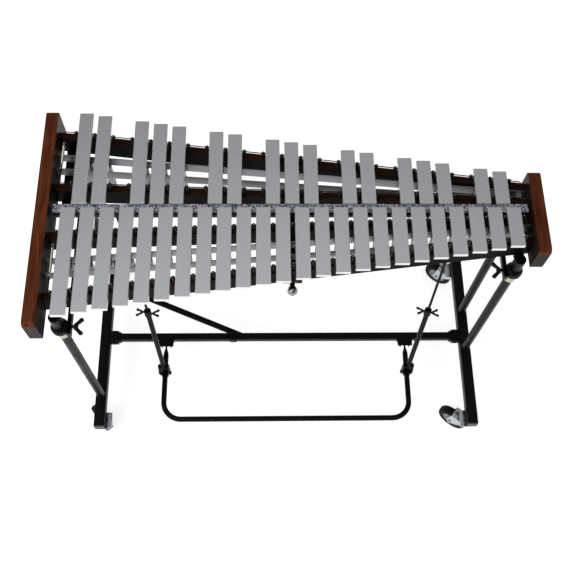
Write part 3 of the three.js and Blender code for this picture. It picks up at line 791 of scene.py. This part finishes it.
# ---- legs ----------------------------------------------------------------------------
SIDE_BAR = (20, 32)


def leg_spots(side):
    """The middles of the two legs of a side, in X and Y."""
    spots = []
    for end in ENDS:
        low, high = box_mm(f"nylon_bush_{end}_{side}")
        spots.append(((low.x + high.x) / 2, (low.y + high.y) / 2))
    return spots


def build_sleeves(side, sign):
    name = f"leg_sleeves_{side}"
    low, high = box_mm(name)
    spots = leg_spots(side)
    x = spots[0][0]
    shape = Shape()
    bore = LEG_RADIUS + 0.6
    edge = SLEEVE_RADIUS - 0.6
    cap = high.z - 2
    sleeve = [(bore, low.z + 1), (edge, low.z + 1), (SLEEVE_RADIUS, low.z + 2), (SLEEVE_RADIUS, high.z - 1),
              (edge, high.z - 0.3), (0, high.z - 0.3), (0, cap), (bore, cap)]
    collar = [(bore, 0), (COLLAR_RADIUS - 3, 0), (COLLAR_RADIUS, 3), (COLLAR_RADIUS, 17),
              (COLLAR_RADIUS - 2, 22), (SLEEVE_RADIUS + 1, 26), (SLEEVE_RADIUS - 1, 26)]
    for _, y in spots:
        shape.add(lathe(sleeve, 36, True), placed((x, y, 0)))
        shape.add(lathe(collar, 40, True), placed((x, y, low.z)))
    cross = rounded((x - 12, x + 12), (high.z - 24, high.z), 2.5)
    shape.add(extrude(cross, "y", (spots[0][1] + 14, spots[1][1] - 14)))
    rear_arm = (spots[1][1] + 14, high.y)
    if rear_arm[1] - rear_arm[0] > 4:
        shape.add(extrude(cross, "y", rear_arm))
    inner_x, outer_x = sorted((x - sign * SIDE_BAR[0], x - sign * SIDE_BAR[1]))
    bar = rounded((inner_x, outer_x), (low.z + 2, low.z + 22), 2)
    shape.add(extrude(bar, "y", (spots[0][1] - 24, spots[1][1] + 12)))
    piece(name, shape, [BLACK], "keyboard", (name,), bevel=0.4)


def build_bush(side, end):
    name = f"nylon_bush_{end}_{side}"
    low, high = box_mm(name)
    tall = high.z - low.z
    inner = LEG_RADIUS + 0.6
    ring = [(inner, 0), (BUSH_RADIUS - 1.4, 0), (BUSH_RADIUS - 0.3, 1.4), (BUSH_RADIUS - 0.3, tall - 2),
            (BUSH_RADIUS, tall - 1.6), (BUSH_RADIUS, tall), (inner, tall)]
    centre = ((low.x + high.x) / 2, (low.y + high.y) / 2, low.z)
    piece(name, Shape().add(lathe(ring, 36, True), placed(centre)), [NYLON], "keyboard", (name,))


def build_wing_bolt(side, sign, end):
    name = f"wing_bolt_{end}_{side}"
    pivot = pivot_mm(f"wing_bolt_turn_{end}_{side}")
    root = box_mm(name)[0 if sign < 0 else 1].x
    mount = turned((root, pivot.y, pivot.z), math.pi if sign > 0 else 0)
    along_x = placed((0, 0, 0), (1, 0, 0))
    shape = Shape()
    shape.add(rod(4.5, 0.2, 8), mount @ along_x)
    shape.add(lathe([(0, 4), (5.6, 4), (6.4, 6), (6, 12), (4, 15.5), (0, 17)], 24), mount @ along_x)
    for way in (-1, 1):
        shape.add(bulb_lobe((9, 4 * way, 0), (28, 23 * way, 0), 5.2, 6.4), mount)
    piece(name, shape, [MOULDED], f"bolt_{end}_{side}", (name,))


def build_side_frame(side, sign):
    name = f"side_frame_{side}"
    low, high = box_mm(name)
    spots = leg_spots(side)
    x = spots[0][0]
    half = BEAM / 2
    beam_top = HINGE.z + half
    beam_bottom = HINGE.z - half
    cap = 4
    shape = Shape()
    section = rounded((x - half, x + half), (beam_bottom, beam_top), 3.5)
    shape.add(extrude(section, "y", (low.y + cap, high.y - cap)))
    plug = rounded((x - half + 0.8, x + half - 0.8), (beam_bottom + 0.8, beam_top - 0.8), 3)
    shape.add(extrude(plug, "y", (low.y, low.y + cap + 6)), look=1)
    shape.add(extrude(plug, "y", (high.y - cap - 6, high.y)), look=1)
    for _, y in spots:
        shape.add(pipe(LEG_RADIUS, LEG_RADIUS - 2, beam_top - 1, high.z, 0.5), placed((x, y, 0)))
        weld = [(LEG_RADIUS - 1, -0.5), (LEG_RADIUS + 3.4, -0.5), (LEG_RADIUS + 2.6, 1.2),
                (LEG_RADIUS + 1, 3.2), (LEG_RADIUS - 1, 3.8)]
        shape.add(lathe(weld, 36, True), placed((x, y, beam_top)))
    for end in ENDS:
        swivel = pivot_mm(f"caster_swivel_{end}_{side}")
        inner, outer = sorted((sign * (abs(swivel.x) - 24), sign * (abs(x) + half)))
        plate = rounded((inner, outer), (swivel.y - 27.5, swivel.y + 27.5), 5)
        shape.add(extrude(plate, "z", (low.z, beam_bottom + 0.5)), look=2)
        for way in (-1, 1):
            spot = (sign * (abs(swivel.x) - 16), swivel.y + 21 * way, beam_bottom + 0.5)
            add_bolt(shape, spot, (0, 0, 1), 4.5, 3.5, look=2)
    piece(name, shape, [BLACK, CAP, ZINC], "stand", (name,), bevel=0.5)


# ---- lower bracing and pedal ---------------------------------------------------------
BRACE_FOOT = 48
BRACE_WIDTH = 22


def build_stretcher():
    low, high = box_mm("stretcher")
    y = (low.y + high.y) / 2
    half = STRETCHER / 2
    shape = Shape()
    tube = rounded((y - half, y + half), (HINGE.z - half, HINGE.z + half), 2.5)
    shape.add(extrude(tube, "x", (low.x, high.x)))
    for _, sign in SIDES:
        end = sign * high.x
        inner = sign * (high.x - 25)
        boss = rounded((low.y, high.y), (low.z, high.z), 9, 5)
        shape.add(extrude(boss, "x", sorted((end, inner))))
        neck = rounded((y - 16, y + 16), (HINGE.z - 14.5, HINGE.z + 14.5), 5, 4)
        shape.add(extrude(neck, "x", sorted((inner, sign * (high.x - 34)))))
        for way in (-1, 1):
            add_bolt(shape, (end - sign * 12, y + 14 * way, high.z - 0.3), (0, 0, 1), 4.2, 3.2)
            add_bolt(shape, (end - sign * 12, y + way * (high.y - y - 0.3), HINGE.z), (0, way, 0), 4.2, 3)
    brace_x = box_mm("diagonal_brace")[1].x - 36
    clamp = rounded((y - half - 2.5, y + half + 0.2), (HINGE.z - half - 2.5, HINGE.z + half + 2.5), 4)
    shape.add(extrude(clamp, "x", (brace_x - 11, brace_x + 11)))
    add_bolt(shape, (brace_x, y, HINGE.z + half + 2.3), (0, 0, 1), 5, 3.5)
    piece("stretcher", shape, [BLACK], "stand", ("stretcher",), bevel=0.4)


def build_brace():
    low, high = box_mm("diagonal_brace")
    outline = [(high.x - BRACE_FOOT, low.y), (low.x, high.y - BRACE_WIDTH), (low.x, high.y), (high.x, low.y)]
    shape = Shape().add(extrude(outline, "z", (low.z, high.z)))
    add_bolt(shape, (high.x - BRACE_FOOT + 12, low.y + 10, high.z - 0.2), (0, 0, 1), 4.5, 3.2)
    add_bolt(shape, (low.x + 12, high.y - 14, high.z - 0.2), (0, 0, 1), 4.5, 3.2)
    piece("diagonal_brace", shape, [BLACK], "stand", ("diagonal_brace",), bevel=0.9)


def build_bracket(side, sign):
    name = f"pedal_bracket_{side}"
    low, high = box_mm(name)
    x = sign * PEDAL_X
    z = HINGE.z
    shape = Shape().add(extrude(rounded((x - 25, x + 25), (low.z, high.z), 2), "y", (high.y - 4, high.y)))
    for cheek in (-17, 13):
        side_plate = [(high.y - 1, z - 10), *arc((HINGE.y, z), 9, 270, 180, 6), (low.y, z + 10), (high.y - 1, z + 10)]
        shape.add(extrude(side_plate, "x", (x + cheek, x + cheek + 4)))
    shape.add(extrude(rounded((x - 25, x + 25), (low.y, high.y), 2), "z", (high.z - 0.4, high.z + 1.8)))
    shape.add(rod(4, -21, 21), placed((x, HINGE.y, z), (1, 0, 0)))
    for way in (-1, 1):
        add_bolt(shape, (x + 17 * way, HINGE.y, z), (way, 0, 0), 5.2, 4)
    piece(name, shape, [BLACK], "stand", (name,), bevel=0.4)


def build_pedal():
    low, _ = box_mm("pedal")
    front = low.y + PEDAL_RADIUS
    foot = rod_mount("left").translation
    x, z = PEDAL_X, HINGE.z
    steps = [HINGE.y + 7, HINGE.y, HINGE.y - 9, HINGE.y - 15, HINGE.y - 21, HINGE.y - 28, HINGE.y - 36]
    bend = 58
    path = [Vector((-x, y, z)) for y in steps]
    path += rounded_path([(-x, steps[-1] - 8, z), (-x, front, z), (x, front, z), (x, steps[-1] - 8, z)], bend, 12)
    path += [Vector((x, y, z)) for y in reversed(steps)]

    def section(i):
        share = min(1, max(0, (HINGE.y - 10 - path[i].y) / 24))
        share = share * share * (3 - 2 * share)
        return 3 + (PEDAL_RADIUS - 3) * share, 11 - (11 - PEDAL_RADIUS) * share

    shape = Shape().add(sweep(path, section, 24))
    for _, sign in SIDES:
        arm = sign * x
        shape.add(extrude(rounded((arm - 11, arm + 11), (z - 11, z + 11), 5, 4), "y", (foot.y - 13, foot.y + 13)))
        for edge in (-11, 8):
            band = rounded((arm - 12, arm + 12), (z - 12, z + 12), 6, 4)
            shape.add(extrude(band, "y", (foot.y + edge, foot.y + edge + 3)))
        shape.add(rod(4, -19, 19), placed((arm, foot.y, z), (1, 0, 0)))
        for way in (-1, 1):
            add_bolt(shape, (arm + 18.6 * way, foot.y, z), (way, 0, 0), 4.6, 3)
    piece("pedal", shape, [BLACK], "pedal", ("pedal",), bevel=0.5)


# ---- pull rods: Z along the rod, origin at the foot ----------------------------------
def rod_mount(side):
    head = pivot_mm(f"rod_swing_{side}")
    up = -Vector(joints[f"rod_telescope_{side}"]["axis"])
    foot = head - up * ((head.z - HINGE.z) / up.z)
    lean = Vector((0, 0, 1)).rotation_difference(up).to_matrix().to_4x4()
    return Matrix.Translation(foot) @ lean


def build_rod_tube(side):
    name = f"pull_rod_tube_{side}"
    mount = rod_mount(side)
    end = ROD_TUBE_END
    shape = Shape()
    shape.add(pipe(8, 5, 36, end - 1, 0.5), mount)
    shape.add(pipe(11, 5.2, end - 26, end, 1.4), mount)
    web = rounded((-18, 18), (-8, 8), 3)
    shape.add(extrude(web, "z", (27, 40)), mount)
    for sign in (-1, 1):
        cheek = [*arc((0, 0), 9, 180, 360, 12), (9, 30), (-9, 30)]
        span = sorted((13 * sign, 18 * sign))
        shape.add(extrude(cheek, "x", span, [circle((0, 0), 5, 16)]), mount)
        z = end - 8 if sign < 0 else end - 17
        shape.add(rod(3.2, 9, 17), mount @ placed((0, 0, z), (sign, 0, 0)), look=1)
        shape.add(rod(4.2, 13, 19, 1.4), mount @ placed((0, 0, z), (sign, 0, 0)), look=1)
        for way in (-1, 1):
            lobe = bulb_lobe((18 * sign, 3 * way, z), (35 * sign, 12.5 * way, z), 3.3, 4.3)
            shape.add(lobe, mount, look=1)
    piece(name, shape, [BLACK, MOULDED], f"rod_tube_{side}", (name,), bevel=0.4)


def build_upper_rod(side):
    name = f"pull_rod_upper_{side}"
    mount = rod_mount(side)
    length = (pivot_mm(f"rod_swing_{side}") - mount.translation).length
    shape = Shape().add(rod(4, ROD_TUBE_END - 95, length - 18, 0.8), mount)
    shape.add(extrude(rounded((-8, 8), (-7, 7), 2), "z", (length - 22, length - 11)), mount)
    for sign in (-1, 1):
        cheek = [(-8.6, -13), (8.6, -13), *arc((0, 0), 8.6, 0, 180, 12)]
        cheek = [(u, v + length) for u, v in cheek]
        hole = circle((0, length), 5.4, 16)
        shape.add(extrude(cheek, "x", sorted((4 * sign, 8 * sign)), [hole]), mount)
    piece(name, shape, [BLACK], f"upper_rod_{side}", (name,), bevel=0.4)


# ---- casters: X along the trail, origin on the floor under the swivel ----------------
def caster_mount(spot):
    swivel = pivot_mm(f"caster_swivel_{spot}")
    axle = pivot_mm(f"wheel_spin_{spot}")
    heading = math.atan2(axle.y - swivel.y, axle.x - swivel.x)
    return turned((swivel.x, swivel.y, 0), heading), math.hypot(axle.x - swivel.x, axle.y - swivel.y)


def build_fork(spot):
    name = f"caster_fork_{spot}"
    mount, trail = caster_mount(spot)
    top = box_mm(name)[1].z
    crown = 2 * WHEEL_RADIUS + 3
    shape = Shape()
    race = [(0, crown + 2), (19, crown + 2), (21, crown + 4), (21, crown + 6.5), (18.5, crown + 7.5),
            (18.5, crown + 8.5), (21, crown + 9.5), (21, top - 2), (19, top), (0, top)]
    shape.add(lathe(race, 36), mount)
    plate = [(trail + 4, -FORK_HALF), (trail + 4, FORK_HALF), *arc((-1, 0), FORK_HALF, 90, 270, 10)]
    shape.add(extrude(plate, "z", (crown, crown + 4)), mount)
    for low_y, high_y in ((-FORK_HALF, 3 - FORK_HALF), (FORK_HALF - 3, FORK_HALF)):
        cheek = [(-17, crown + 3), (-14, crown - 8), *arc((trail, WHEEL_RADIUS), 12, 190, 355, 12),
                 (trail + 5, crown + 3)]
        shape.add(extrude(cheek, "y", (low_y, high_y)), mount)
    axle = (trail, 0, WHEEL_RADIUS)
    shape.add(rod(4, -FORK_HALF - 0.5, FORK_HALF + 0.5), mount @ placed(axle, (0, 1, 0)))
    for way in (-1, 1):
        add_bolt(shape, mount @ Vector((trail, FORK_HALF * way, WHEEL_RADIUS)),
                 mount.to_3x3() @ Vector((0, way, 0)), 6, 4.5)
    piece(name, shape, [ZINC], f"swivel_{spot}", (name,), bevel=0.5)


def build_wheel(spot):
    name = f"caster_wheel_{spot}"
    mount, trail = caster_mount(spot)
    mount = mount @ placed((trail, 0, WHEEL_RADIUS), (0, 1, 0))
    rim = WHEEL_RADIUS - 20
    side = [(rim, 12.5), (rim + 5, 14.4), (WHEEL_RADIUS - 6, 13.8), (WHEEL_RADIUS - 2.4, 11), (WHEEL_RADIUS - 0.5, 7),
            (WHEEL_RADIUS, 2.5)]
    tyre = [(u, -v) for u, v in side] + side[::-1]
    face = [(4.7, 14.5), (12, 14.5), (13.5, 12), (15, 8), (rim - 5, 8), (rim - 3, 11.5), (rim + 0.5, 12)]
    hub = [(u, -v) for u, v in face] + face[::-1]
    shape = Shape().add(lathe(tyre, 56, True), mount).add(lathe(hub, 56, True), mount, look=1)
    for spoke in range(5):
        angle = 2 * math.pi * spoke / 5
        for way in (-1, 1):
            foot = Vector((20 * math.cos(angle), 20 * math.sin(angle), 8 * way))
            shape.add(lathe([(0, -1), (3.2, -1), (3, 1.2), (0, 1.6)], 14), mount @ placed(foot, (0, 0, way)), 1)
    piece(name, shape, [RUBBER, HUB], f"wheel_{spot}", (name,), smooth=40)


def build_lever(spot):
    name = f"brake_lever_{spot}"
    mount, trail = caster_mount(spot)
    mount = mount @ placed((trail + 4.4, 0, 2 * WHEEL_RADIUS + 2.5))
    stations = [(0, 2.2, 7), (6, 3.4, 8), (13, 4.8, 8.5), (19, 5.2, 10.5), (26, 3.0, 12.8), (33, 0.2, 13),
                (38, -2.0, 11.4), (41.5, -3.6, 7.8), (43.2, -4.4, 3)]
    path = [Vector((x, 0, z)) for x, z, _ in stations]
    plate = sweep(path, lambda i: (stations[i][2], 1.8), 20)
    shape = Shape().add(plate, mount)
    for groove in range(4):
        x = 24 + 3.8 * groove
        z = 5.6 - 0.42 * (x - 19)
        shape.add(wire([(x, -8, z), (x, 8, z)], 0.8, 8), mount)
    piece(name, shape, [LEVER], f"lever_{spot}", (name,))


# ---- camera, light and floor ---------------------------------------------------------
def build_camera():
    yaw, pitch, roll = (math.radians(a) for a in (-3.992, 65.959, 3.503))
    ahead = Vector((-math.sin(yaw) * math.cos(pitch), math.cos(yaw) * math.cos(pitch), -math.sin(pitch)))
    flat_right = Vector((math.cos(yaw), math.sin(yaw), 0))
    flat_up = flat_right.cross(ahead)
    right = flat_right * math.cos(roll) + flat_up * math.sin(roll)
    up = flat_up * math.cos(roll) - flat_right * math.sin(roll)
    camera = bpy.data.objects.new("camera", bpy.data.cameras.new("camera"))
    camera.data.lens = 52.79
    camera.data.sensor_width = 36
    camera.matrix_world = Matrix.Translation((-0.0761, -1.0495, 2.863)) @ Matrix((right, up, -ahead)).transposed().to_4x4()
    bpy.context.scene.collection.objects.link(camera)
    bpy.context.scene.camera = camera


def build_world():
    """A studio that is white at the horizon, dark half way up and bright again overhead."""
    world = bpy.data.worlds.new("studio")
    world.use_nodes = True
    nodes, links = world.node_tree.nodes, world.node_tree.links
    split = nodes.new("ShaderNodeSeparateXYZ")
    links.new(nodes.new("ShaderNodeTexCoord").outputs["Generated"], split.inputs[0])
    height = nodes.new("ShaderNodeValToRGB")
    elements = height.color_ramp.elements
    levels = ((0.04, 1.0), (0.3, 0.25), (0.6, 0.1), (0.82, 0.28), (1.0, 0.8))
    while len(elements) < len(levels):
        elements.new(0.5)
    for element, (position, level) in zip(elements, levels):
        element.position = position
        element.color = (level, level, level * 1.015, 1)
    links.new(split.outputs["Z"], height.inputs["Fac"])
    links.new(height.outputs["Color"], nodes["Background"].inputs["Color"])
    nodes["Background"].inputs["Strength"].default_value = 1.0
    bpy.context.scene.world = world


def build_light():
    lamp = bpy.data.lights.new("softbox", "AREA")
    lamp.shape = "RECTANGLE"
    lamp.size, lamp.size_y = 2.4, 1.6
    lamp.energy = 27
    softbox = bpy.data.objects.new("softbox", lamp)
    softbox.location = (-1.6, -1.3, 2.6)
    softbox.rotation_euler = (Vector((0.1, 0, 0.8)) - softbox.location).to_track_quat("-Z", "Y").to_euler()
    bpy.context.scene.collection.objects.link(softbox)


def build_floor():
    look = Look("studio_floor", Roughness=0.9, Specular_IOR_Level=0.1, Emission_Strength=0.72)
    look.shader.inputs["Emission Color"].default_value = (1, 1, 1, 1)
    look.colour(look.grain(3), (0.3, (0.86, 0.86, 0.86)), (0.7, (0.88, 0.88, 0.88)))
    mesh = bpy.data.meshes.new("floor")
    half = 12
    mesh.from_pydata([(-half, -half, 0), (half, -half, 0), (half, half, 0), (-half, half, 0)], [], [[0, 1, 2, 3]])
    mesh.materials.append(look.material)
    floor = bpy.data.objects.new("floor", mesh)
    bpy.context.scene.collection.objects.link(floor)


CAP = plastic("end_cap", (0.03, 0.03, 0.032), (0.045, 0.045, 0.048), (0.4, 0.55))

# ---- assembly ------------------------------------------------------------------------
bpy.context.scene.view_settings.view_transform = "Standard"
build_camera()
build_world()
build_light()
build_floor()
for row in ROWS:
    build_cord(row)
    build_spring(row)
    build_bars(row)
    build_resonators(row)
    for end in ENDS:
        build_rail(row, end)
build_damper()
build_felt()
build_centre()
for side, sign in SIDES:
    build_panel(side)
    build_sleeves(side, sign)
    build_side_frame(side, sign)
    build_bracket(side, sign)
    build_rod_tube(side)
    build_upper_rod(side)
    for end in ENDS:
        build_bush(side, end)
        build_wing_bolt(side, sign, end)
build_stretcher()
build_brace()
build_pedal()
for spot in SPOTS:
    build_fork(spot)
    build_wheel(spot)
    build_lever(spot)
